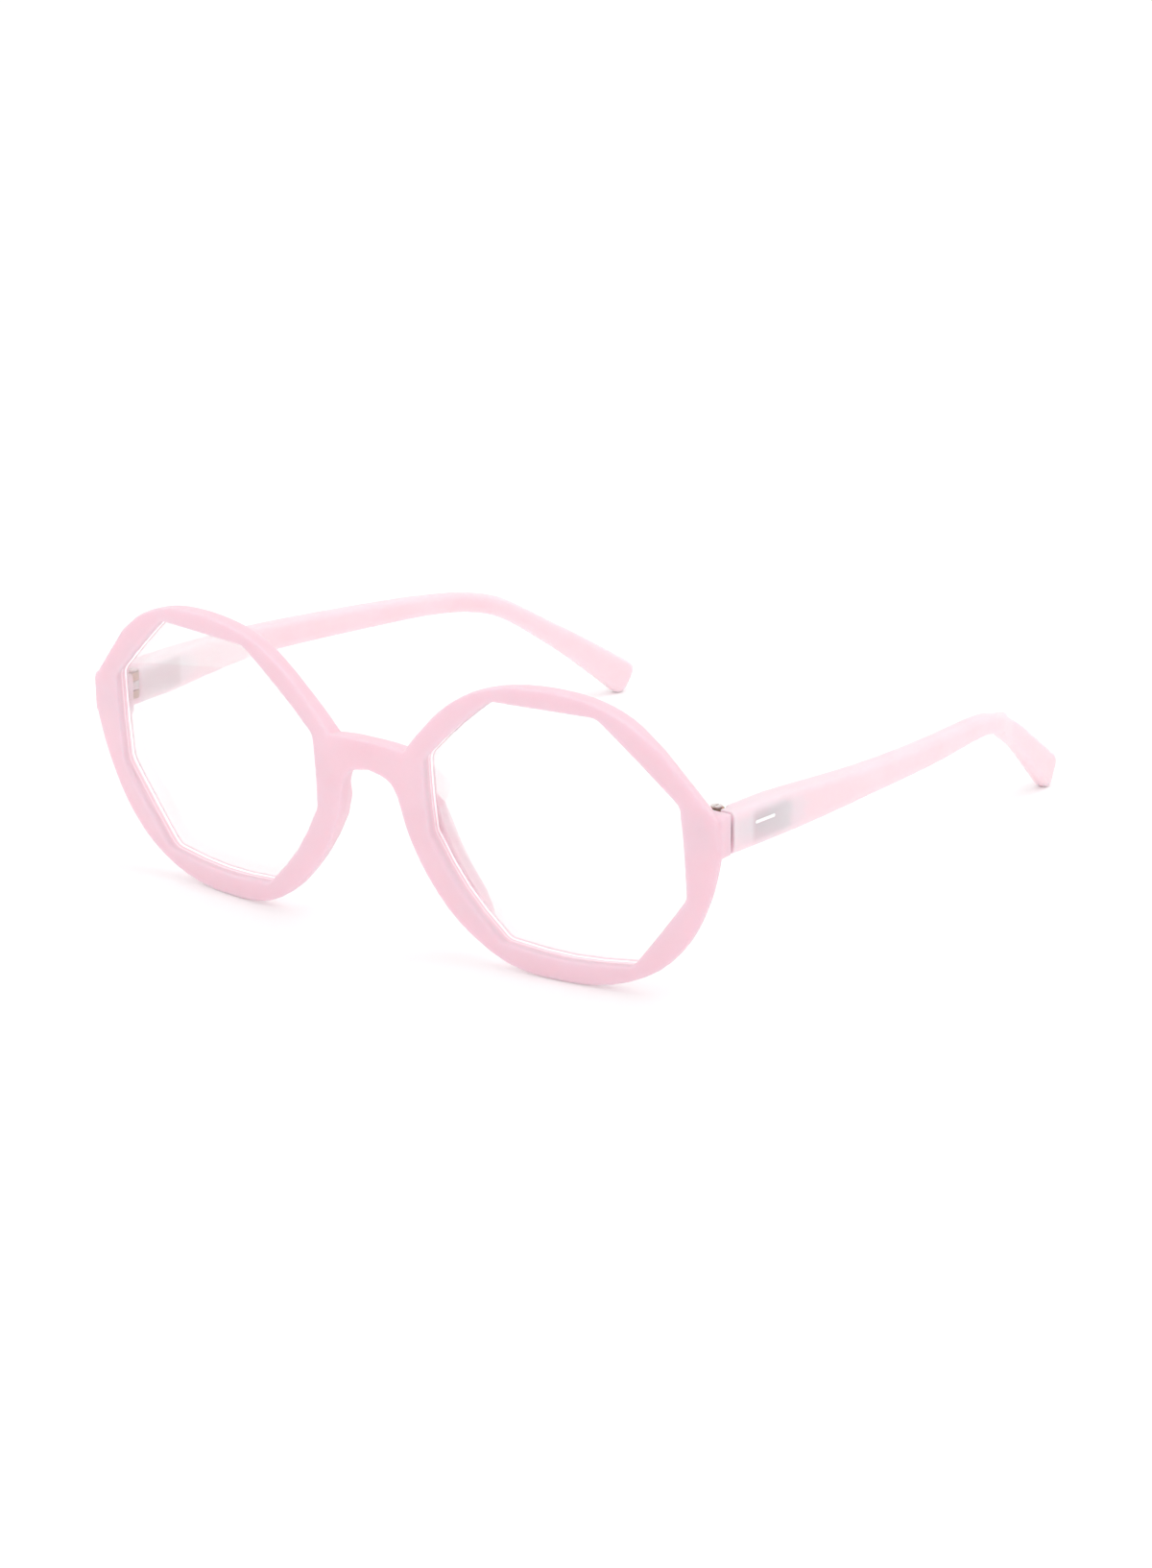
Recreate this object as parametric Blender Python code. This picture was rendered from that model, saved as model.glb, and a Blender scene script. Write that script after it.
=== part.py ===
"""Blue light glasses with an octagonal eye opening in round rims, standing open on a surface.

Metres, +Z up. The front faces -Y, the temples run to +Y, and the wearer's right is at -X.
The origin is on the surface below the middle of the glasses. The front is modelled in its own
upright frame and then leant forward by FRONT_TILT about the X axis.
"""
import math

import bmesh
import bpy
from mathutils import Matrix, Vector

MM = 0.001

# --- Front, in millimetres in the front's own frame: x sideways, z up, y is depth from its face.
FRONT_TILT = math.radians(5.7)     # the top leans forward
FRONT_LIFT = 37.97                 # height of the front's origin over the surface
BOX_SHIFT_Y = -71.45               # brings the middle of the bounding box to the origin
WRAP_RADIUS = 324.0                # of the front's face, seen from above
RIM_DEPTH = 3.6
# The rim's outer side leans in towards its back, least at the bridge and along the top.
# Pairs of inset and depth.
RIM_SIDE = ((0.45, 0.0), (0.13, 0.13), (0.0, 0.45), (0.3, 1.2), (0.85, 2.3), (1.5, 3.25),
            (1.95, RIM_DEPTH))
LEAST_LEAN = 0.38                  # share of those insets at the bridge and along the top
LEAN_GROWS_X = (9.0, 22.0)         # the share grows to all of them between these distances
LEAN_GROWS_Z = (13.0, 3.0)         # and between these heights
OPENING_SIDE = ((0.3, 0.0), (0.09, 0.09), (0.0, 0.3), (0.0, 3.3), (0.1, 3.5), (0.35, RIM_DEPTH))
BRIDGE_TOP = ((0.0, -0.85), (4.2, -0.9), (7.9, -1.3))
RIM_UPPER = ((7.9, -1.3), (12.0, 3.4), (17.5, 8.7), (25.0, 13.0), (34.5, 14.7), (44.5, 14.1),
             (52.0, 11.3), (58.0, 6.8), (67.6, -4.6))
END_SIDE = ((67.6, -4.6), (67.9, -9.6))
RIM_LOWER = ((67.9, -9.6), (67.1, -14.0), (65.3, -19.8), (61.6, -27.0), (55.4, -33.4),
             (46.5, -37.4), (36.0, -38.4), (26.0, -37.0), (17.0, -31.3), (11.2, -24.0),
             (7.6, -16.6), (5.8, -9.9), (3.9, -7.3), (0.0, -6.3))

# --- Eye opening: the corners of the octagon and the bulge of the side after each one.
OPENING = (((26.7, 11.1), 0.05), ((46.8, 11.1), 0.15), ((61.0, -2.6), 0.15), ((61.2, -19.4), 0.1),
           ((50.5, -33.4), 0.8), ((25.4, -33.4), 1.0), ((12.3, -16.0), 0.15), ((12.0, -2.0), 0.4))
CORNER_RADIUS = 2.6
LENS_LAP = 0.45                    # how far the lens reaches past the opening's edge
GROOVE_LAP = 0.75
GROOVE = (1.3, 3.1)                # depths of the groove's two walls
LENS = (1.6, 2.8)                  # depths of the lens's two faces

# --- Nose pads: x, z, depth and width of the ridge at each station of the right-hand pad.
PAD_RIDGE = ((8.9, -8.9, 4.3, 2.0), (9.4, -12.2, 6.4, 2.5), (9.9, -15.2, 7.1, 2.6),
             (11.2, -19.0, 7.3, 2.6), (13.4, -23.2, 7.1, 2.8), (16.0, -27.2, 6.9, 2.8),
             (18.5, -30.6, 6.1, 2.2), (20.8, -33.2, 3.0, 1.4))
PAD_ROOT = (1.0, 3.2)              # depths between which it joins the rim
PAD_FOOT = 3.4                     # its width there
PAD_FLARE = 2.9                    # how far a ridge FLARE_DEPTH deep stands back from the nose side
FLARE_DEPTH = 8.0

# --- End piece and hinge, in millimetres from the pin's middle: x outwards, y back, z up.
PIN = (63.6, 13.05, 32.05)
END_BACK = 11.0
END_BLOCK = ((61.3, 68.1), (8.2, 11.6), (27.5, 34.85))
END_FACING = ((58.0, 70.0), (END_BACK, 16.0), (24.0, 37.0))   # cuts its back and the rim's flat
KNUCKLE_R = 1.35
PIN_R = 0.57
PIN_HOLE_R = 0.62
EAR = (0.95, 2.4)                  # the two front knuckles lie this far above and below
MIDDLE_HALF = 0.8
HEAD_R = 1.0
HEAD = (2.5, 2.82)                 # heights of the head's two faces
SLOT = ((-0.15, 0.15), (-2.0, 2.0), (2.68, 3.4))
BASE = ((-1.2, 1.2), (-4.2, -1.9), (-2.35, 2.2))
POCKET_GAP = 0.3

# --- Sliding hinge core, along the temple: distances from the pin, then half widths and heights.
CORE_OFFSET = (2.45, 0.0, -0.95)
CORE_SLOPE = (0.04, 1.0, -0.03)
BLOCK = (2.0, 3.9, 1.0, 1.5)
ROD_R = 0.48
ROD_END = 12.9
HOUSING = (4.3, 14.2, 1.4, 2.15)
HOUSING_WALL = 1.0
HOUSING_BORE_R = 1.0
COLLAR = (11.9, 12.6, 0.86)
SPRING_R = 0.72
SPRING_WIRE_R = 0.12
SPRING_TURNS = 7
PEG = (15.9, 18.0, 0.8, 1.4)
RELIEF = (-3.2, 3.4)               # heights of the room for the knuckles in the temple's end

# --- Temples: x, y, z of the middle of each section, its width across the path and its thickness.
TEMPLE = ((66.1, 11.75, 31.15, 7.4, 4.2), (66.5, 24.0, 30.8, 7.5, 4.2),
          (67.3, 36.0, 30.4, 6.6, 4.0), (67.6, 50.0, 29.8, 5.5, 3.6), (66.7, 64.0, 28.8, 5.0, 3.3),
          (65.1, 78.0, 27.7, 4.65, 3.1), (63.3, 90.0, 26.8, 4.2, 3.0), (62.3, 97.0, 26.05, 3.9, 2.9),
          (61.4, 101.5, 25.25, 3.75, 2.9), (59.8, 105.3, 24.45, 3.6, 2.9), (57.1, 110.0, 22.95, 3.65, 2.9),
          (54.8, 114.0, 20.7, 3.75, 2.9), (53.1, 119.0, 17.8, 4.05, 2.9), (52.1, 124.7, 14.35, 4.4, 3.0),
          (50.3, 133.0, 8.5, 5.5, 3.0), (48.9, 140.5, 3.05, 6.6, 3.1))
TEMPLE_CORNER = 0.9                # rounding of the section's corners
TIP_CORNER = 1.9
TIP_ROUNDING = ((0.45, 0.1), (0.8, 0.35), (1.0, 0.75))   # how the tip closes in over that length

PINK = (0.905, 0.62, 0.69)


def make_material(name, colour, roughness, metallic=0.0, transmission=0.0):
    material = bpy.data.materials.new(name)
    material.use_nodes = True
    shader = material.node_tree.nodes["Principled BSDF"]
    shader.inputs["Base Color"].default_value = (*colour, 1.0)
    shader.inputs["Roughness"].default_value = roughness
    shader.inputs["Metallic"].default_value = metallic
    shader.inputs["Transmission Weight"].default_value = transmission
    return material


def finish(name, bm, material, parent=None):
    """Turns a bmesh into an object, outward facing and smooth with sharp edges kept."""
    bmesh.ops.remove_doubles(bm, verts=bm.verts, dist=1e-7)
    bmesh.ops.recalc_face_normals(bm, faces=bm.faces)
    mesh = bpy.data.meshes.new(name)
    bm.to_mesh(mesh)
    bm.free()
    mesh.shade_smooth()
    mesh.set_sharp_from_angle(angle=math.radians(35))
    if material:
        mesh.materials.append(material)
    obj = bpy.data.objects.new(name, mesh)
    bpy.context.scene.collection.objects.link(obj)
    obj.parent = parent
    return obj


def add_boolean(obj, other, operation):
    """Adds a Boolean, and hides the other object, which only shapes this one."""
    modifier = obj.modifiers.new(operation.title() + "_" + other.name, "BOOLEAN")
    modifier.object = other
    modifier.operation = operation
    modifier.solver = "EXACT"
    other.hide_render = True
    other.display_type = "WIRE"


# ---------------------------------------------------------------- outlines
def smooth_run(points, steps):
    """Points along a Catmull-Rom curve through the given ones, without the last one."""
    out = []
    for i in range(len(points) - 1):
        a, b = Vector(points[i]), Vector(points[i + 1])
        before = Vector(points[i - 1]) if i else a * 2 - b
        after = Vector(points[i + 2]) if i + 2 < len(points) else b * 2 - a
        for k in range(steps):
            t = k / steps
            out.append(0.5 * (2 * a + (b - before) * t + (2 * before - 5 * a + 4 * b - after) * t * t
                              + (3 * a - before - 3 * b + after) * t ** 3))
    return out


def front_outline():
    """The whole front's outline, clockwise as seen from the front."""
    half = smooth_run(BRIDGE_TOP, 2) + smooth_run(RIM_UPPER[:-1], 4)
    half += [Vector(RIM_UPPER[-2]), Vector(RIM_UPPER[-1])]
    half += smooth_run(RIM_LOWER, 3) + [Vector(RIM_LOWER[-1])]
    return half + [Vector((-p.x, p.y)) for p in reversed(half[1:-1])]


def opening_outline(lap=0.0, corner_steps=4, side_steps=4):
    """The octagon of the right-hand eye, made larger by lap, with rounded corners and bulged sides."""
    corners = [Vector(c) for c, _ in OPENING]
    count = len(corners)
    normals = []
    for i, corner in enumerate(corners):
        along = (corners[(i + 1) % count] - corner).normalized()
        normals.append(Vector((-along.y, along.x)))
    grown = []
    for i, corner in enumerate(corners):
        before, after = normals[i - 1], normals[i]
        grown.append(corner + (before + after) * lap / (1 + before.dot(after)))
    radius = CORNER_RADIUS + lap
    starts, ends = [], []
    for i, corner in enumerate(grown):
        into = (corner - grown[i - 1]).normalized()
        out_of = (grown[(i + 1) % count] - corner).normalized()
        reach = radius * math.tan(into.angle(out_of) / 2)
        starts.append(corner - into * reach)
        ends.append(corner + out_of * reach)
    points = []
    for i, corner in enumerate(grown):
        for k in range(corner_steps + 1):
            t = k / corner_steps
            points.append(starts[i] * (1 - t) ** 2 + corner * 2 * t * (1 - t) + ends[i] * t * t)
        side = starts[(i + 1) % count] - ends[i]
        for k in range(1, side_steps):
            t = k / side_steps
            points.append(ends[i] + side * t + normals[i] * OPENING[i][1] * math.sin(math.pi * t))
    return points


def inset_loop(points, distances):
    """Moves each point of a clockwise loop inwards, square to its two neighbouring sides."""
    out = []
    for i, (p, distance) in enumerate(zip(points, distances)):
        into = (p - points[i - 1]).normalized()
        out_of = (points[(i + 1) % len(points)] - p).normalized()
        n1, n2 = Vector((into.y, -into.x)), Vector((out_of.y, -out_of.x))
        out.append(p + (n1 + n2) * distance / (1 + n1.dot(n2)))
    return out


def smooth_step(value, limits):
    t = min(1.0, max(0.0, (value - limits[0]) / (limits[1] - limits[0])))
    return t * t * (3 - 2 * t)


def side_share(point):
    """How much of the rim's inward lean there is at this point of its outline."""
    growth = smooth_step(abs(point.x), LEAN_GROWS_X) * smooth_step(point.y, LEAN_GROWS_Z)
    return LEAST_LEAN + (1 - LEAST_LEAN) * growth


# ---------------------------------------------------------------- front
def on_front(x, z, depth):
    return Vector((x, x * x / (2 * WRAP_RADIUS) + depth, z)) * MM


def wrapped_plate(bm, loops):
    """A plate that follows the front's wrap, from loops of (points, insets and depths, shares)."""
    caps = ([], [])
    for points, profile, shares in loops:
        rings = []
        for inset, depth in profile:
            ring = inset_loop(points, [inset * share for share in shares])
            rings.append([bm.verts.new(on_front(p.x, p.y, depth)) for p in ring])
        for first, second in zip(rings, rings[1:]):
            for i in range(len(points)):
                j = (i + 1) % len(points)
                bm.faces.new((first[i], first[j], second[j], second[i]))
        for cap, ring in zip(caps, (rings[0], rings[-1])):
            for i, vert in enumerate(ring):
                other = ring[(i + 1) % len(ring)]
                cap.append(bm.edges.get((vert, other)))
    for cap in caps:
        bmesh.ops.triangle_fill(bm, use_beauty=True, edges=cap, normal=(0, 1, 0))


def mirrored(points):
    return [Vector((-p.x, p.y)) for p in reversed(points)]


def box_mesh(bm, ranges, bevel=0.0):
    """A box from its ranges in millimetres, with its edges bevelled."""
    size = [high - low for low, high in ranges]
    middle = [(high + low) / 2 for low, high in ranges]
    made = bmesh.ops.create_cube(bm, size=1.0)["verts"]
    bmesh.ops.scale(bm, vec=Vector(size) * MM, verts=made)
    bmesh.ops.translate(bm, vec=Vector(middle) * MM, verts=made)
    if bevel:
        edges = list({edge for vert in made for edge in vert.link_edges})
        bmesh.ops.bevel(bm, geom=edges, offset=bevel * MM, segments=2, profile=0.5, affect="EDGES")


def pad_sections():
    """One closed ring of points for each station of a nose pad."""
    rings = []
    shallow, deep = PAD_ROOT
    for x, z, depth, width in PAD_RIDGE:
        nose = x - PAD_FLARE * min(1.0, depth / FLARE_DEPTH)
        foot = nose + 0.9 + PAD_FOOT
        root = min(deep, depth - 1.6)
        section = ((nose + 0.9, shallow), (nose + 0.25 * (x - nose) + 0.3, 0.5 * (shallow + depth) - 0.4),
                   (x - 0.6, depth - 0.7), (x, depth), (x + 0.75 * width, depth - 0.15),
                   (x + width, depth - 1.2), (x + width + 0.5, root),
                   (foot, root), (foot, shallow))
        rings.append([on_front(across, z, back) for across, back in section])
    return rings


def loft(bm, rings):
    """Skins closed rings of points in turn and caps both ends."""
    made = [[bm.verts.new(p) for p in ring] for ring in rings]
    for first, second in zip(made, made[1:]):
        for i in range(len(first)):
            j = (i + 1) % len(first)
            bm.faces.new((first[i], first[j], second[j], second[i]))
    bm.faces.new(made[0])
    bm.faces.new(made[-1])
    bmesh.ops.triangulate(bm, faces=[f for f in bm.faces if len(f.verts) > 3])


def build_front(frame, material):
    bm = bmesh.new()
    outline = front_outline()
    loops = [(outline, RIM_SIDE, [side_share(p) for p in outline])]
    opening = opening_outline()
    for hole in (opening, mirrored(opening)):
        loops.append((hole, OPENING_SIDE, [-1.0] * len(hole)))
    wrapped_plate(bm, loops)
    front = finish("front_frame", bm, material, frame)
    for side, name in ((1, "left"), (-1, "right")):
        bm = bmesh.new()
        loft(bm, pad_sections())
        bmesh.ops.scale(bm, vec=(side, 1, 1), verts=bm.verts)
        add_boolean(front, finish("cut_pad_" + name, bm, None, frame), "UNION")
        block = solid("cut_end_" + name, lambda bm: box_mesh(bm, END_BLOCK, bevel=0.45), None,
                      side_matrix(side))
        add_boolean(front, block, "UNION")
        facing = solid("cut_facing_" + name, lambda bm: box_mesh(bm, END_FACING), None,
                       side_matrix(side))
        add_boolean(front, facing, "DIFFERENCE")
        bm = bmesh.new()
        groove = opening_outline(GROOVE_LAP)
        groove = groove if side > 0 else mirrored(groove)
        wrapped_plate(bm, [(groove, [(0.0, depth) for depth in GROOVE], [0.0] * len(groove))])
        add_boolean(front, finish("cut_groove_" + name, bm, None, frame), "DIFFERENCE")
        grown = [(low - POCKET_GAP, high + POCKET_GAP) for low, high in BASE]
        pocket = solid("cut_base_" + name, lambda bm: box_mesh(bm, grown), None, pin_matrix(side))
        add_boolean(front, pocket, "DIFFERENCE")


def build_lens(name, side, frame, material):
    bm = bmesh.new()
    edge = opening_outline(LENS_LAP)
    edge = edge if side > 0 else mirrored(edge)
    near, far = LENS
    profile = ((0.15, near), (0.0, near + 0.15), (0.0, far - 0.15), (0.15, far))
    wrapped_plate(bm, [(edge, profile, [1.0] * len(edge))])
    finish(name, bm, material, frame)


# ---------------------------------------------------------------- hinge
def side_matrix(side):
    """From millimetres behind the face and over the surface to the model, mirrored for side -1."""
    return Matrix.Translation(Vector((0, BOX_SHIFT_Y, 0)) * MM) @ Matrix.Diagonal((side, 1, 1, 1))


def pin_matrix(side):
    """The same, measured from the middle of the hinge pin."""
    return side_matrix(side) @ Matrix.Translation(Vector(PIN) * MM)


def core_matrix(side):
    """The same, turned so that +Y runs along the temple from the level of the pin."""
    along = Vector(CORE_SLOPE).normalized()
    across = along.cross(Vector((0, 0, 1))).normalized()
    turn = Matrix((across, along, across.cross(along))).transposed().to_4x4()
    return pin_matrix(side) @ Matrix.Translation(Vector(CORE_OFFSET) * MM) @ turn


def cylinder(bm, radius, ends, axis="Z", segments=24):
    """A cylinder between two distances along the Z or Y axis, in millimetres."""
    low, high = ends
    turn = Matrix.Rotation(-math.pi / 2, 4, "X") if axis == "Y" else Matrix.Identity(4)
    shift = Matrix.Translation(Vector((0, 0, (high + low) / 2)) * MM)
    bmesh.ops.create_cone(bm, cap_ends=True, cap_tris=False, segments=segments, matrix=turn @ shift,
                          radius1=radius * MM, radius2=radius * MM, depth=(high - low) * MM)


def solid(name, draw, material, frame):
    """An object placed by a frame matrix, from a function that draws it in millimetres."""
    bm = bmesh.new()
    draw(bm)
    bmesh.ops.transform(bm, matrix=frame, verts=bm.verts)
    return finish(name, bm, material)


def hang_on_axis(name, side, objects):
    """Puts an empty on the fold axis and makes it the parent of the pieces that turn about it."""
    axis = bpy.data.objects.new(name, None)
    axis.location = pin_matrix(side).translation
    bpy.context.scene.collection.objects.link(axis)
    for obj in objects:
        obj.parent = axis
        obj.matrix_parent_inverse = Matrix.Translation(-axis.location)


def build_front_hinge(name, side, material):
    """A base plate set into the end piece, with two knuckles on short webs."""
    place = pin_matrix(side)
    hinge = solid(name, lambda bm: box_mesh(bm, BASE), material, place)
    for level, sign in (("upper", 1), ("lower", -1)):
        ends = sorted((sign * EAR[0], sign * EAR[1]))
        web = ((-KNUCKLE_R, 0.55), (-2.2, 0.1), ends)
        knuckle = solid("cut_" + name + level, lambda bm: cylinder(bm, KNUCKLE_R, ends), None, place)
        add_boolean(hinge, knuckle, "UNION")
        arm = solid("cut_" + name + level + "_web", lambda bm: box_mesh(bm, web), None, place)
        add_boolean(hinge, arm, "UNION")
    hole = solid("cut_" + name + "_hole", lambda bm: cylinder(bm, PIN_HOLE_R, (-4, 4)), None, place)
    add_boolean(hinge, hole, "DIFFERENCE")


def build_screw(name, side, material):
    """The hinge pin with a slotted head."""
    place = pin_matrix(side)
    screw = solid(name, lambda bm: cylinder(bm, PIN_R, (-EAR[1], HEAD[1] - 0.2)), material, place)
    head = solid("cut_" + name + "_head", lambda bm: cylinder(bm, HEAD_R, HEAD), None, place)
    add_boolean(screw, head, "UNION")
    slot = solid("cut_" + name + "_slot", lambda bm: box_mesh(bm, SLOT), None, place)
    add_boolean(screw, slot, "DIFFERENCE")


def build_slider(name, side, material):
    """The middle knuckle, its arm, the block that runs in the temple and the rod behind it."""
    place, core = pin_matrix(side), core_matrix(side)
    ends = (-MIDDLE_HALF, MIDDLE_HALF)
    slider = solid(name, lambda bm: cylinder(bm, KNUCKLE_R, ends), material, place)
    arm = ((0.0, CORE_OFFSET[0] + 0.6), (-0.1, KNUCKLE_R), ends)
    neck = ((CORE_OFFSET[0] - BLOCK[2], CORE_OFFSET[0] + 0.6), (0.2, BLOCK[0] + 0.6),
            (-MIDDLE_HALF, MIDDLE_HALF - 0.4))
    start, end, half_width, half_height = BLOCK
    block = ((-half_width, half_width), (start, end), (-half_height, half_height))
    for part, box, frame in (("arm", arm, place), ("neck", neck, place), ("block", block, core)):
        add_boolean(slider, solid("cut_" + name + part, lambda bm: box_mesh(bm, box), None, frame),
                    "UNION")
    rod = solid("cut_" + name + "_rod",
                lambda bm: cylinder(bm, ROD_R, (end - 0.4, ROD_END), "Y", 16), None, core)
    add_boolean(slider, rod, "UNION")
    hole = solid("cut_" + name + "_hole", lambda bm: cylinder(bm, PIN_HOLE_R, (-4, 4)), None, place)
    add_boolean(slider, hole, "DIFFERENCE")
    return slider


def build_housing(name, side, material):
    """The metal box in the temple: a bore for the spring, and a smaller hole for the rod."""
    core = core_matrix(side)
    start, end, half_width, half_height = HOUSING
    box = ((-half_width, half_width), (start, end), (-half_height, half_height))
    housing = solid(name, lambda bm: box_mesh(bm, box, bevel=0.3), material, core)
    for part, radius, reach in (("bore", HOUSING_BORE_R, (start + HOUSING_WALL, end + 1)),
                                ("hole", ROD_R + 0.12, (start - 1, end))):
        cutter = solid("cut_" + name + part,
                       lambda bm: cylinder(bm, radius, reach, "Y", 20), None, core)
        add_boolean(housing, cutter, "DIFFERENCE")
    return housing


def build_collar(name, side, material):
    """The ring riveted on the rod's end, which the spring pushes on."""
    core = core_matrix(side)
    start, end, radius = COLLAR
    collar = solid(name, lambda bm: cylinder(bm, radius, (start, end), "Y", 20), material, core)
    hole = solid("cut_" + name, lambda bm: cylinder(bm, ROD_R + 0.05, (start - 1, end + 1), "Y", 16),
                 None, core)
    add_boolean(collar, hole, "DIFFERENCE")
    return collar


def build_spring(name, side, material):
    """A coil between the housing's end wall and the collar."""
    low, high = HOUSING[0] + HOUSING_WALL + 0.3, COLLAR[0] - 0.3
    per_turn, sides = 12, 6
    count = SPRING_TURNS * per_turn
    bm = bmesh.new()
    rings = []
    for i in range(count + 1):
        angle = 2 * math.pi * i / per_turn
        middle = Vector((SPRING_R * math.cos(angle), low + (high - low) * i / count,
                         SPRING_R * math.sin(angle)))
        outwards = Vector((math.cos(angle), 0, math.sin(angle)))
        ring = []
        for k in range(sides):
            turn = 2 * math.pi * k / sides
            ring.append((middle + SPRING_WIRE_R * (outwards * math.cos(turn)
                                                   + Vector((0, math.sin(turn), 0)))) * MM)
        rings.append(ring)
    loft(bm, rings)
    bmesh.ops.transform(bm, matrix=core_matrix(side), verts=bm.verts)
    return finish(name, bm, material)


def build_peg(name, side, material):
    """The small upright peg behind the housing."""
    start, end, half_width, half_height = PEG
    box = ((-half_width, half_width), (start, end), (-half_height, half_height))
    return solid(name, lambda bm: box_mesh(bm, box, bevel=0.3), material, core_matrix(side))


# ---------------------------------------------------------------- temples
def temple_ring(place, along, width, thickness):
    """The rounded rectangle of one section, square to the path."""
    across = along.cross(Vector((0, 0, 1))).normalized()
    up = across.cross(along)
    corner = min(TEMPLE_CORNER, 0.45 * thickness)
    ring = []
    for sx, sz in ((1, 1), (-1, 1), (-1, -1), (1, -1)):
        first = math.atan2(sz, sx) - math.pi / 4
        for k in range(3):
            angle = first + k * math.pi / 4
            u = sx * (thickness / 2 - corner) + corner * math.cos(angle)
            v = sz * (width / 2 - corner) + corner * math.sin(angle)
            ring.append((place + across * u + up * v) * MM)
    return ring


def temple_rings():
    """Sections along the temple, closing in over the last few millimetres of the tip."""
    rows = smooth_run(TEMPLE, 2) + [Vector(TEMPLE[-1])]
    places = [Vector(row[:3]) for row in rows]
    rings = []
    for i, row in enumerate(rows):
        along = (places[min(i + 1, len(rows) - 1)] - places[max(i - 1, 0)]).normalized()
        if i == 0:
            along = Vector((0, 1, 0))
        rings.append(temple_ring(places[i], along, row[3], row[4]))
    for reach, shrink in TIP_ROUNDING:
        rings.append(temple_ring(places[-1] + along * TIP_CORNER * reach, along,
                                 row[3] - 2 * TIP_CORNER * shrink, row[4] - 1.4 * shrink))
    return rings


def build_temple(name, side, material):
    temple = solid(name, lambda bm: loft(bm, temple_rings()), material, side_matrix(side))
    place, core = pin_matrix(side), core_matrix(side)
    gap = POCKET_GAP
    start, end, half_width, half_height = HOUSING
    box = ((-half_width - gap, half_width + gap), (start - gap, end + gap),
           (-half_height - gap, half_height + gap))
    channel = ((-BLOCK[2] - gap, BLOCK[2] + gap), (-8.0, start),
               (-BLOCK[3] - gap, BLOCK[3] + gap))
    peg = ((-PEG[2] - gap, PEG[2] + gap), (PEG[0] - gap, PEG[1] + gap), (-PEG[3] - gap, PEG[3] + gap))
    link = ((-0.4, 0.4), (end, PEG[0]), (-0.4, 0.4))
    for part, cut, frame in (("housing", box, core), ("channel", channel, core),
                             ("peg", peg, core), ("link", link, core)):
        add_boolean(temple, solid("cut_" + name + part, lambda bm: box_mesh(bm, cut), None, frame),
                    "DIFFERENCE")
    relief = solid("cut_" + name + "_relief",
                   lambda bm: cylinder(bm, KNUCKLE_R + 0.4, RELIEF), None, place)
    add_boolean(temple, relief, "DIFFERENCE")
    mouth = ((-6.0, KNUCKLE_R + 0.25), (-6.0, -0.6), RELIEF)
    throat = ((0.0, CORE_OFFSET[0] + 0.9), (-3.0, KNUCKLE_R + gap),
              (-MIDDLE_HALF - gap, MIDDLE_HALF + gap))
    for part, cut in (("mouth", mouth), ("throat", throat)):
        cutter = solid("cut_" + name + part, lambda bm: box_mesh(bm, cut), None, place)
        add_boolean(temple, cutter, "DIFFERENCE")
    return temple


def main():
    for obj in list(bpy.data.objects):
        bpy.data.objects.remove(obj)
    front_plastic = make_material("front_plastic", PINK, 0.5, transmission=0.3)
    temple_plastic = make_material("temple_plastic", PINK, 0.5, transmission=0.4)
    lens_glass = make_material("lens_plastic", (1.0, 1.0, 1.0), 0.02, transmission=1.0)
    steel = make_material("hinge_steel", (0.55, 0.52, 0.5), 0.3, metallic=1.0)
    bronze = make_material("hinge_bronze", (0.42, 0.27, 0.14), 0.35, metallic=1.0)

    frame = bpy.data.objects.new("front_axis", None)
    frame.location = Vector((0, BOX_SHIFT_Y, FRONT_LIFT)) * MM
    frame.rotation_euler.x = FRONT_TILT
    bpy.context.scene.collection.objects.link(frame)

    build_front(frame, front_plastic)
    for side, name in ((1, "left"), (-1, "right")):
        build_lens(name + "_lens", side, frame, lens_glass)
        build_front_hinge(name + "_front_hinge", side, bronze)
        build_screw(name + "_hinge_screw", side, steel)
        turning = [build_slider(name + "_hinge_slider", side, steel),
                   build_housing(name + "_spring_housing", side, steel),
                   build_collar(name + "_spring_collar", side, steel),
                   build_spring(name + "_coil_spring", side, steel),
                   build_peg(name + "_temple_peg", side, steel),
                   build_temple(name + "_temple", side, temple_plastic)]
        hang_on_axis(name + "_fold_axis", side, turning)


main()
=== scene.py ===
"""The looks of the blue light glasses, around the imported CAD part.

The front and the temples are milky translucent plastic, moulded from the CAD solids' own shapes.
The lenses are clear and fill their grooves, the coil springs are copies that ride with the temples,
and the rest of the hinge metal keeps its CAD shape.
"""
import math

import bmesh
import bpy
from mathutils import Euler, Matrix, Vector
from mathutils.bvhtree import BVHTree


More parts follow.
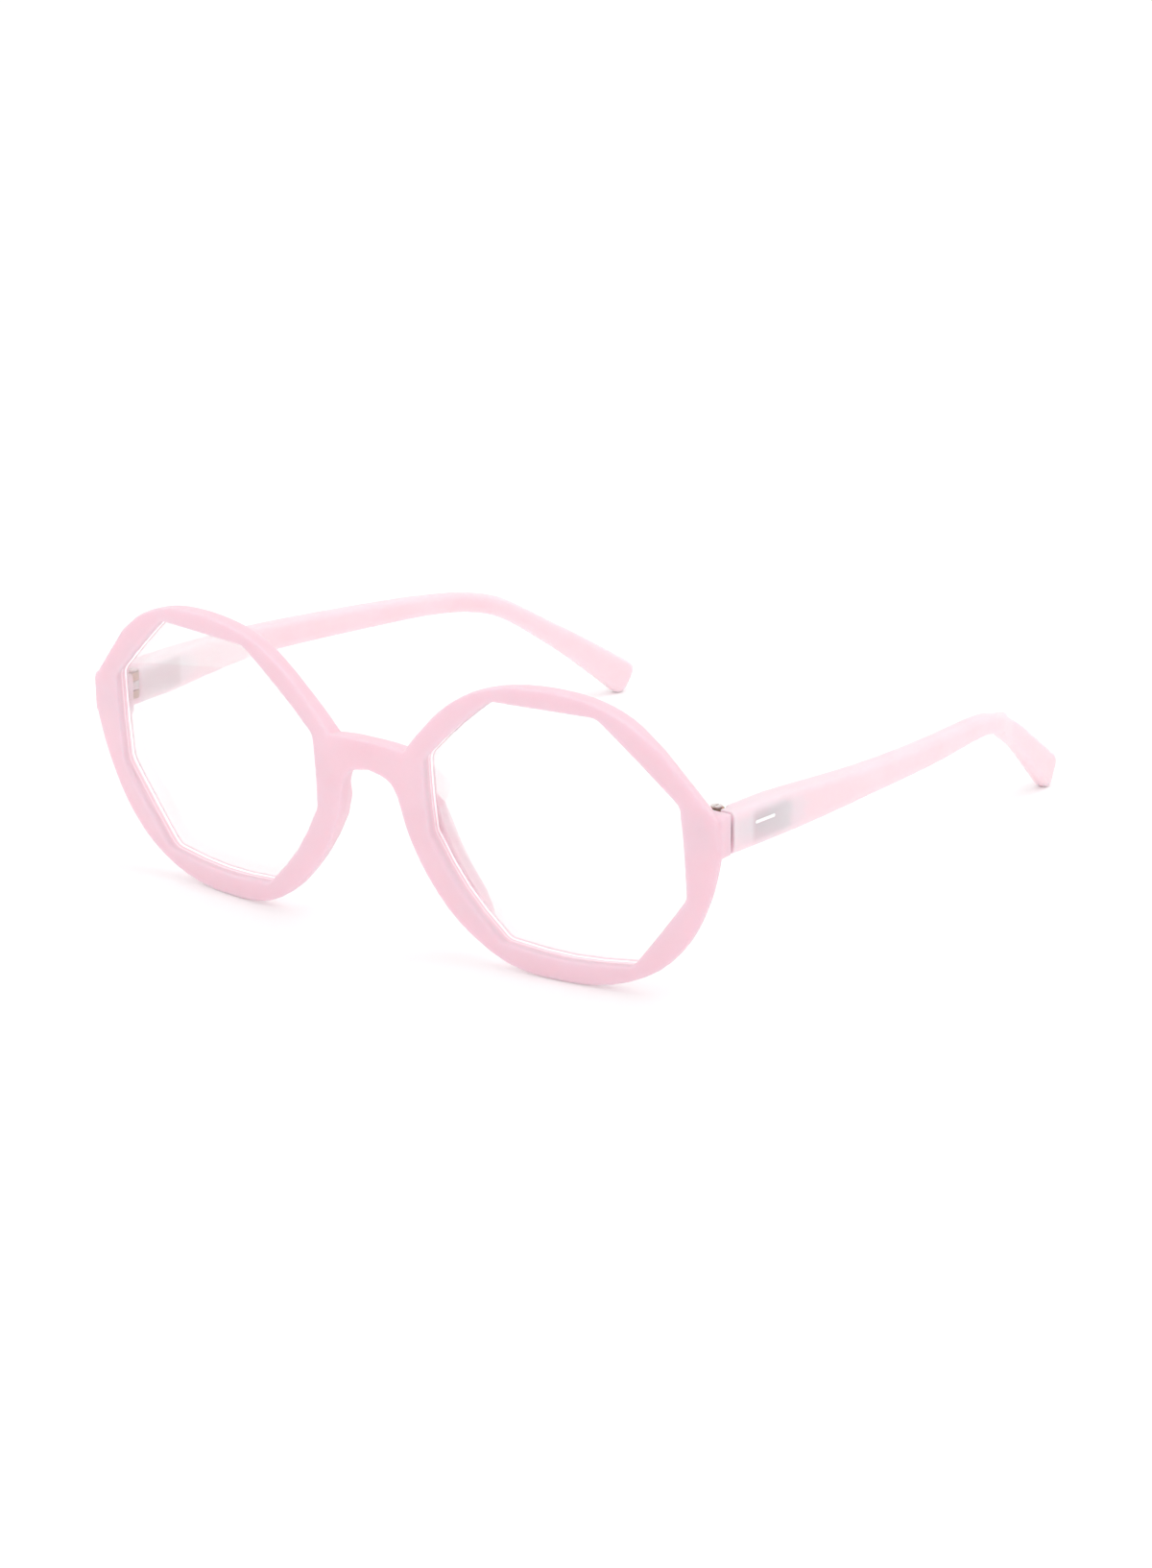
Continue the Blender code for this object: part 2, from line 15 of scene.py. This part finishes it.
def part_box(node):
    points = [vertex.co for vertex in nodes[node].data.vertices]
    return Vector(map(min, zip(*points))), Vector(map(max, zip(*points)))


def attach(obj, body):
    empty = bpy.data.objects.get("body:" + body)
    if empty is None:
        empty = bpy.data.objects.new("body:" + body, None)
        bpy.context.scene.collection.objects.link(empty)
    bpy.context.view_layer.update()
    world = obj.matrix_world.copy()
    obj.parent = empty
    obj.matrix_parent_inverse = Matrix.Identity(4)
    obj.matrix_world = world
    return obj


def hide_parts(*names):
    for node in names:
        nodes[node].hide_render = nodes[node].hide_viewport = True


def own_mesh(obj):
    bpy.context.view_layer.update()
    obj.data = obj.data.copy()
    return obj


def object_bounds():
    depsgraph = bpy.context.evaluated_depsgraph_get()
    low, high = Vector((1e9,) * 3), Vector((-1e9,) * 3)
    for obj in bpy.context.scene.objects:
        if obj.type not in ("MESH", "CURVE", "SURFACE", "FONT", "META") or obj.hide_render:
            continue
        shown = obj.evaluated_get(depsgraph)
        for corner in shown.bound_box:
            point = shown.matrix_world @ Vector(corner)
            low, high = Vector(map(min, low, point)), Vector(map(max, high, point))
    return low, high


MM = 0.001   # sizes and places are in millimetres; the camera's, the floor's and the lamps' in metres,
             # as the materials' noise scales (features in a metre) and bump depths are

# ---------------------------------------------------------------- sizes
WELD = 0.002                         # points of a solid that are closer than this are one point
FRONT_SKIN = (0.22, 5, 0.25)         # voxel, rounds of smoothing, share of the faces that stay
TEMPLE_SKIN = (0.2, 8, 0.3)

FRONT_PLACE = (0.0, -71.45, 37.97)   # the front's own origin, and how far it leans
FRONT_TILT = math.radians(5.7)
WRAP_RADIUS = 324.0
LENS_EDGE = 1.75                     # depth of the front corner of the CAD lens's edge
LENS_EDGE_TOLERANCE = 0.04
LENS_FACES = (1.36, 3.04)            # depths behind the front's face
LENS_BEVEL = 0.2
LENS_HALF = 25.0                     # from the lens's middle to its edge, roughly
LENS_RINGS = 14
LENS_SHARP = math.radians(30)
LENS_FACE_SKIN, LENS_BACK_SKIN, LENS_GROOVE_SKIN = range(3)   # the two faces, the bevel behind, and
                                                              # the edge with the bevel in front

BEND = (38.0, 14.0)                  # how far back the temples' bends are, and half their length
BEND_SHIFT = {"left": (0.7, -0.85), "right": (-0.7, 0.8)}   # outwards and up, from the solids' bends

DASH = (2.7, 0.3, 0.03)              # half length, end radius and height over the surface
DASH_SHIFT = (0.0, -2.1, 0.7)        # from the middle of the spring housing
DASH_STEPS = 8                       # sides of each round end
TEMPLE_FALL = 0.03                   # how much the temple falls for each millimetre back
OUTSIDE = 80.0                       # from the middle plane, clear of the temples

# ---------------------------------------------------------------- colours
FRONT_PINK = (0.925, 0.65, 0.725)
TEMPLE_PINK = (0.935, 0.715, 0.765)
METAL_SHADE = (0.84, 0.58, 0.62)     # of the plastic over the metal inside it: partly the metal's grey seen through, partly painted shade
METAL_BLUR = 1.1
LENS_TINT = (0.995, 0.995, 0.985)
LENS_COVER = 0.3                     # the rest of the light passes a coated lens unbent
# the lens bevel's ground white, which is also the colour of its painted glow
GROUND_EDGE = (0.97, 0.92, 0.935)
BRONZE = (0.52, 0.38, 0.27)
DRAWN_STEEL = (0.66, 0.6, 0.59)
TURNED_STEEL = (0.84, 0.77, 0.75)
SPRING_STEEL = (0.6, 0.59, 0.58)
PRINT_WHITES = ((0.97, 0.93, 0.94), (1.0, 0.97, 0.98))
WHITE = (1.0, 1.0, 1.0)

# ---------------------------------------------------------------- camera, floor and lamps
CAMERA_PLACE = (0.53647, -0.73377, 0.32107)
CAMERA_TURN = (71.086, 0.3033, 36.4987)     # degrees about X, Y and Z
CAMERA_LENS = 121.86
CAMERA_SENSOR = 36.0
CAMERA_CLIP = (0.05, 50.0)
FLOOR_RADIUS = 9.0
FLOOR_GAP = 0.00002                  # under the glasses, so that the two surfaces don't touch
LAMPS = (("key", (0.5, 0.25, 1.5), 1.2, 5.0),      # place, size across and watts
         ("fill", (-0.9, -1.1, 0.9), 1.0, 1.6))

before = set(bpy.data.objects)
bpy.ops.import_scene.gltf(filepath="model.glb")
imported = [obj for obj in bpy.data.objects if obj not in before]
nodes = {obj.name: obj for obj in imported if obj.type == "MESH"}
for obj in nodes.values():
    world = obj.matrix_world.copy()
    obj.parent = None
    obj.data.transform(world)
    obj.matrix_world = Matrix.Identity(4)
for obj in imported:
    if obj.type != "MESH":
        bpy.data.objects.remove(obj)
cad_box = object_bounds()


# ---------------------------------------------------------------- materials
class Nodes:
    """Short calls for building a material's node tree."""

    def __init__(self, name):
        self.material = bpy.data.materials.new(name)
        self.material.use_nodes = True
        self.tree = self.material.node_tree
        self.shader = self.tree.nodes["Principled BSDF"]
        self.place = self.add("ShaderNodeTexCoord").outputs["Object"]

    def add(self, kind, **inputs):
        node = self.tree.nodes.new(kind)
        for key, value in inputs.items():
            node.inputs[key.replace("_", " ")].default_value = value
        return node

    def link(self, output, target):
        self.tree.links.new(output, target)

    def set(self, **inputs):
        for key, value in inputs.items():
            self.shader.inputs[key.replace("_", " ")].default_value = value

    def noise(self, scale, detail=4.0, roughness=0.55, stretch=None):
        """Noise in the object's own space; a small stretch along an axis makes long streaks there."""
        node = self.add("ShaderNodeTexNoise", Scale=scale, Detail=detail, Roughness=roughness)
        place = self.place
        if stretch:
            mapping = self.add("ShaderNodeMapping", Scale=stretch)
            self.link(place, mapping.inputs["Vector"])
            place = mapping.outputs["Vector"]
        self.link(place, node.inputs["Vector"])
        return node.outputs["Fac"]

    def ramp(self, factor, low, high, start=0.3, end=0.7):
        """From one colour or grey level to another, as a factor goes from start to end."""
        node = self.add("ShaderNodeValToRGB")
        for element, position, value in zip(node.color_ramp.elements, (start, end), (low, high)):
            level = value if isinstance(value, tuple) else (value,) * 3
            element.position = position
            element.color = (*level, 1.0)
        self.link(factor, node.inputs["Fac"])
        return node.outputs["Color"]

    def bump(self, height, strength, distance, below=None):
        """A normal that is raised by a height, on top of the one below."""
        node = self.add("ShaderNodeBump", Strength=strength, Distance=distance)
        self.link(height, node.inputs["Height"])
        if below:
            self.link(below, node.inputs["Normal"])
        return node.outputs["Normal"]

    def inside(self, box, edge):
        """A level that is 1 inside the box and falls to 0 over the edge around it."""
        middle, half = (box[0] + box[1]) / 2, (box[1] - box[0]) / 2
        shift = self.add("ShaderNodeVectorMath")
        shift.operation = "SUBTRACT"
        self.link(self.place, shift.inputs[0])
        shift.inputs[1].default_value = middle
        size = self.add("ShaderNodeVectorMath")
        size.operation = "ABSOLUTE"
        self.link(shift.outputs["Vector"], size.inputs[0])
        parts = self.add("ShaderNodeSeparateXYZ")
        self.link(size.outputs["Vector"], parts.inputs["Vector"])
        level = None
        for axis, reach in zip("XYZ", half):
            fall = self.add("ShaderNodeMapRange", From_Min=reach - edge / 2, From_Max=reach + edge,
                            To_Min=1.0, To_Max=0.0)
            fall.interpolation_type = "SMOOTHSTEP"
            self.link(parts.outputs[axis], fall.inputs["Value"])
            level = self.times(level, fall.outputs["Result"]) if level else fall.outputs["Result"]
        return level

    def times(self, first, second):
        """The product of two outputs, or of an output and a number."""
        node = self.add("ShaderNodeMath")
        node.operation = "MULTIPLY"
        for socket, value in zip(node.inputs, (first, second)):
            if isinstance(value, float):
                socket.default_value = value
            else:
                self.link(value, socket)
        return node.outputs["Value"]

    def blend(self, colour, other, level, depth):
        """Moves a colour towards another by a level times a depth."""
        node = self.add("ShaderNodeMixRGB", Color2=(*other, 1.0))
        self.link(self.times(level, depth), node.inputs["Fac"])
        self.link(colour, node.inputs["Color1"])
        return node.outputs["Color"]


def shade(colour, factor):
    """The colour times a number, no lighter than white."""
    return tuple(min(1.0, c * factor) for c in colour)


def milky_plastic(name, colour, transmission, scatter, inserts=()):
    """Satin translucent plastic: slow cloudiness, a fine blasted surface and a few flow streaks.

    The inserts are boxes of metal inside it. Over them it is darkened with a soft edge, partly the
    metal's grey seen through and partly painted shade.
    """
    n = Nodes(name)
    tint = n.ramp(n.noise(90.0, 3.0), shade(colour, 0.975), shade(colour, 1.02))
    # painted shade over the metal inserts, with their grey seen through the plastic
    painted_shade_over_metal = tuple(c * m for c, m in zip(colour, METAL_SHADE))
    for box, depth in inserts:
        tint = n.blend(tint, painted_shade_over_metal, n.inside(box, METAL_BLUR * MM), depth)
    n.link(tint, n.shader.inputs["Base Color"])
    n.link(n.ramp(n.noise(700.0), 0.43, 0.52), n.shader.inputs["Roughness"])
    flow = n.bump(n.noise(140.0, 2.0, stretch=(1.0, 0.25, 1.0)), 0.06, 0.0004)
    grain = n.bump(n.noise(5200.0, 3.0), 0.12, 0.00004, below=flow)
    n.link(grain, n.shader.inputs["Normal"])
    n.set(IOR=1.49, Transmission_Weight=transmission, Subsurface_Weight=scatter,
          Subsurface_Scale=0.002, Subsurface_Radius=(1.0, 0.62, 0.7), Specular_IOR_Level=0.42)
    return n.material


def lens_material():
    """Clear plastic with a faint warm tint and a hard coat."""
    n = Nodes("lens_clear")
    n.set(Base_Color=(*LENS_TINT, 1.0), Transmission_Weight=1.0, IOR=1.5, Alpha=LENS_COVER,
          Specular_IOR_Level=0.35)
    n.link(n.ramp(n.noise(60.0, 2.0), 0.012, 0.03, start=0.35), n.shader.inputs["Roughness"])
    return n.material


def lens_edge(name, colour, glow):
    """A skin for the lens's edge, with a painted glow: emission, though the edge is no lamp."""
    n = Nodes(name)
    n.link(n.ramp(n.noise(2400.0), shade(colour, 0.95), colour), n.shader.inputs["Base Color"])
    n.set(Roughness=0.6, Emission_Color=(*colour, 1.0), Emission_Strength=glow)
    return n.material


def metal(name, colour, roughness, streak=(1.0, 1.0, 1.0), spread=0.1):
    """Small hinge metal: brushed or turned, a little duller in patches."""
    n = Nodes(name)
    n.link(n.ramp(n.noise(900.0), shade(colour, 0.82), shade(colour, 1.12)),
           n.shader.inputs["Base Color"])
    lines = n.noise(4200.0, 3.0, stretch=streak)
    n.link(n.ramp(lines, roughness - spread, roughness + spread), n.shader.inputs["Roughness"])
    n.link(n.bump(lines, 0.2, 0.00003), n.shader.inputs["Normal"])
    n.set(Metallic=1.0)
    return n.material


def print_white():
    """The print of the dash on the temples."""
    n = Nodes("printed_white")
    n.link(n.ramp(n.noise(3000.0), *PRINT_WHITES), n.shader.inputs["Base Color"])
    n.set(Roughness=0.55)
    return n.material


# ---------------------------------------------------------------- pieces
def new_object(bm, name, materials):
    """Turns a bmesh into an object of the scene."""
    mesh = bpy.data.meshes.new(name)
    bm.to_mesh(mesh)
    bm.free()
    for material in materials:
        mesh.materials.append(material)
    obj = bpy.data.objects.new(name, mesh)
    bpy.context.scene.collection.objects.link(obj)
    return obj


def copy_of(node, name, material):
    """A loose copy of a CAD node's mesh, as one welded skin."""
    bm = bmesh.new()
    bm.from_mesh(nodes[node].data)
    bmesh.ops.remove_doubles(bm, verts=bm.verts, dist=WELD * MM)
    for face in bm.faces:
        face.material_index = 0
    return new_object(bm, name, (material,))


def apply_modifiers(obj):
    """Replaces the object's mesh with its evaluated one and drops the modifiers."""
    graph = bpy.context.evaluated_depsgraph_get()
    made = bpy.data.meshes.new_from_object(obj.evaluated_get(graph))
    obj.modifiers.clear()
    obj.data = made
    made.name = obj.name


def moulded(node, name, material, skin):
    """The CAD solid with every edge and corner eased, as it leaves a mould."""
    voxel, rounds, share = skin
    obj = copy_of(node, name, material)
    remesh = obj.modifiers.new("Skin", "REMESH")
    remesh.mode = "VOXEL"
    remesh.voxel_size = voxel * MM
    remesh.use_smooth_shade = True
    smooth = obj.modifiers.new("Ease", "SMOOTH")
    smooth.factor, smooth.iterations = 0.5, rounds
    fewer = obj.modifiers.new("Fewer", "DECIMATE")
    fewer.ratio = share
    apply_modifiers(obj)
    obj.data.shade_smooth()
    if not obj.data.materials:
        obj.data.materials.append(material)
    return obj


def settle_bend(obj, word, side):
    """Moves a temple's bend sideways and up or down, fading out either side.

    The solids are mirror images, while the real bends differ: the left one is a little further out
    and lower, and the right one further in and higher.
    """
    middle, reach = BEND
    outwards, up = BEND_SHIFT[word]
    for vert in obj.data.vertices:
        away = abs(vert.co.y / MM - middle) / reach
        if away < 1:
            share = 0.5 + 0.5 * math.cos(math.pi * away)
            vert.co += Vector((side * outwards, 0, up)) * MM * share


def front_matrix():
    """From the front's own frame to the world."""
    return Matrix.Translation(Vector(FRONT_PLACE) * MM) @ Matrix.Rotation(FRONT_TILT, 4, "X")


def wrap(x):
    """How far back the wrapped front's face is at a distance from the middle."""
    return x * x / (2 * WRAP_RADIUS)


def lens_outline(node):
    """The middle and the widest outline of a lens, sideways and up in the front's own frame."""
    to_front = front_matrix().inverted()
    corners = {}
    for vert in nodes[node].data.vertices:
        p = to_front @ vert.co / MM
        if abs(p.y - wrap(p.x) - LENS_EDGE) < LENS_EDGE_TOLERANCE:
            corners[round(p.x, 2), round(p.z, 2)] = Vector((p.x, p.z))
    points = list(corners.values())
    middle = sum(points, Vector((0, 0))) / len(points)
    return middle, sorted(points, key=lambda p: math.atan2(*(p - middle)))


def clear_lens(node, name, materials):
    """A lens with evenly curved faces and a small bevel all round its edge, front and back."""
    middle, outline = lens_outline(node)
    near, far = LENS_FACES
    inside = 1 - LENS_BEVEL / LENS_HALF
    steps = [inside * k / LENS_RINGS for k in range(1, LENS_RINGS + 1)]
    rows = [(share, near) for share in steps]
    rows += [(1.0, near + LENS_BEVEL), (1.0, far - LENS_BEVEL)]
    rows += [(share, far) for share in reversed(steps)]
    bm = bmesh.new()

    def place(p, depth):
        return bm.verts.new(Vector((p.x, wrap(p.x) + depth, p.y)) * MM)

    rings = [[place(middle + (p - middle) * share, depth) for p in outline] for share, depth in rows]
    last = len(steps) - 1
    skins = {last: LENS_GROOVE_SKIN, last + 1: LENS_GROOVE_SKIN, last + 2: LENS_BACK_SKIN}
    count = len(outline)
    for row, (first, second) in enumerate(zip(rings, rings[1:])):
        for i in range(count):
            j = (i + 1) % count
            face = bm.faces.new((first[i], first[j], second[j], second[i]))
            face.material_index = skins.get(row, LENS_FACE_SKIN)
    for ring, depth in ((rings[0], near), (rings[-1], far)):
        pole = place(middle, depth)
        for i in range(count):
            bm.faces.new((pole, ring[i], ring[(i + 1) % count]))
    bmesh.ops.recalc_face_normals(bm, faces=bm.faces)
    bmesh.ops.transform(bm, matrix=front_matrix(), verts=bm.verts)
    lens = new_object(bm, name, materials)
    lens.data.shade_smooth()
    lens.data.set_sharp_from_angle(angle=LENS_SHARP)
    return lens


def dash_outline():
    """A straight stroke with round ends: points along it and across it."""
    half_length, radius, _ = DASH
    outline = []
    for end in (1, -1):
        for k in range(DASH_STEPS + 1):
            angle = math.pi * (k / DASH_STEPS - 0.5) + (0 if end > 0 else math.pi)
            outline.append((end * (half_length - radius) + radius * math.cos(angle),
                            radius * math.sin(angle)))
    return outline


def temple_mark(word, side, temple, material):
    """A short plain dash printed on the outside of a temple, following its surface."""
    surface = BVHTree.FromPolygons([v.co for v in temple.data.vertices],
                                   [p.vertices for p in temple.data.polygons])
    low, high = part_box(word + "_spring_housing")
    middle = (low + high) / 2 + Vector(DASH_SHIFT) * MM
    outline = dash_outline()
    lift = DASH[-1] * MM
    bm = bmesh.new()
    layers = []
    for height in (-lift, lift):
        ring = []
        for along, across in outline:
            from_outside = Vector((side * OUTSIDE * MM, middle.y + along * MM,
                                   middle.z + (across - TEMPLE_FALL * along) * MM))
            point = surface.ray_cast(from_outside, Vector((-side, 0, 0)))[0]
            ring.append(bm.verts.new(point + Vector((side * height, 0, 0))))
        layers.append(ring)
    inner, outer = layers
    bm.faces.new(inner)
    bm.faces.new(outer)
    for i in range(len(outline)):
        j = (i + 1) % len(outline)
        bm.faces.new((inner[i], inner[j], outer[j], outer[i]))
    bmesh.ops.recalc_face_normals(bm, faces=bm.faces)
    return new_object(bm, word + "_temple_dash", (material,))


def fit_spring(word, material):
    """A smooth-shaded copy of the coil, which rides with its temple."""
    node = word + "_coil_spring"
    spring = copy_of(node, word + "_spring_wire", material)
    spring.data.shade_smooth()
    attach(spring, word + "_arm")
    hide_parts(node)
    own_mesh(spring)


# ---------------------------------------------------------------- build
front_plastic = milky_plastic("front_plastic_milky", FRONT_PINK, transmission=0.12, scatter=0.75)
# both edge skins have a painted glow; the bevel's white is its ground finish, the groove edge's pink a
# painted reflection of the groove wall
lens_skins = (lens_material(), lens_edge("lens_bevel_ground_painted_glow", GROUND_EDGE, glow=0.4),
              lens_edge("lens_edge_in_groove_painted_glow", FRONT_PINK, glow=0.06))
bronze = metal("hinge_bronze_plated", BRONZE, 0.36)
steel = metal("hinge_steel_drawn", DRAWN_STEEL, 0.36, streak=(1.0, 0.08, 1.0))
turned = metal("screw_steel_turned", TURNED_STEEL, 0.4, streak=(1.0, 1.0, 0.1))
wire = metal("spring_steel_wire", SPRING_STEEL, 0.22, spread=0.06)
white = print_white()
hinge_metals = {"front_hinge": bronze, "hinge_screw": turned, "hinge_slider": steel,
                "spring_housing": steel, "spring_collar": turned, "temple_peg": turned}

front = moulded("front_frame", "front_shell", front_plastic, FRONT_SKIN)
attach(front, "front")
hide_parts("front_frame")

for side, word in ((1, "left"), (-1, "right")):
    # metal boxes inside the temple, each with how deep the painted shade over it is
    inserts = [(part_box(word + "_spring_housing"), 1.0), (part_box(word + "_temple_peg"), 0.6),
               (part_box(word + "_hinge_slider"), 0.35)]
    plastic = milky_plastic(word + "_temple_plastic_milky", TEMPLE_PINK, transmission=0.06,
                            scatter=0.9, inserts=inserts)
    temple = moulded(word + "_temple", word + "_temple_shell", plastic, TEMPLE_SKIN)
    settle_bend(temple, word, side)
    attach(temple, word + "_arm")
    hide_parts(word + "_temple")

    dash = temple_mark(word, side, temple, white)
    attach(dash, word + "_arm")

    lens = clear_lens(word + "_lens", word + "_lens_shell", lens_skins)
    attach(lens, "front")
    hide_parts(word + "_lens")

    fit_spring(word, wire)
    for part, material in hinge_metals.items():
        for slot in nodes[word + "_" + part].material_slots:
            slot.material = material


def floor():
    """A pale floor that runs out of sight."""
    n = Nodes("floor_pale")
    n.link(n.ramp(n.noise(6.0, 3.0), 0.9, 0.915), n.shader.inputs["Base Color"])
    n.set(Roughness=0.7, Specular_IOR_Level=0.2, Emission_Color=(*WHITE, 1.0), Emission_Strength=0.08)
    bm = bmesh.new()
    bmesh.ops.create_circle(bm, cap_ends=True, segments=96, radius=FLOOR_RADIUS)
    obj = new_object(bm, "floor", (n.material,))
    obj.location.z = cad_box[0].z - FLOOR_GAP


def studio():
    """A bright even surround and two large soft lamps."""
    world = bpy.data.worlds.new("surround")
    world.use_nodes = True
    background = world.node_tree.nodes["Background"]
    background.inputs["Color"].default_value = (*WHITE, 1.0)
    background.inputs["Strength"].default_value = 1.0
    bpy.context.scene.world = world
    for name, place, size, power in LAMPS:
        lamp = bpy.data.lights.new(name, "AREA")
        lamp.shape = "DISK"
        lamp.size = size
        lamp.energy = power
        obj = bpy.data.objects.new(name, lamp)
        obj.location = place
        obj.rotation_euler = (-Vector(place)).to_track_quat("-Z", "Y").to_euler()
        bpy.context.scene.collection.objects.link(obj)


def camera():
    """The camera, three quarters from the front and a little above."""
    data = bpy.data.cameras.new("camera")
    data.lens = CAMERA_LENS
    data.sensor_width = CAMERA_SENSOR
    data.clip_start, data.clip_end = CAMERA_CLIP
    obj = bpy.data.objects.new("camera", data)
    turn = Euler([math.radians(angle) for angle in CAMERA_TURN])
    obj.matrix_world = Matrix.LocRotScale(Vector(CAMERA_PLACE), turn, None)
    bpy.context.scene.collection.objects.link(obj)
    bpy.context.scene.camera = obj


floor()
studio()
camera()
bpy.context.scene.view_settings.view_transform = "Standard"
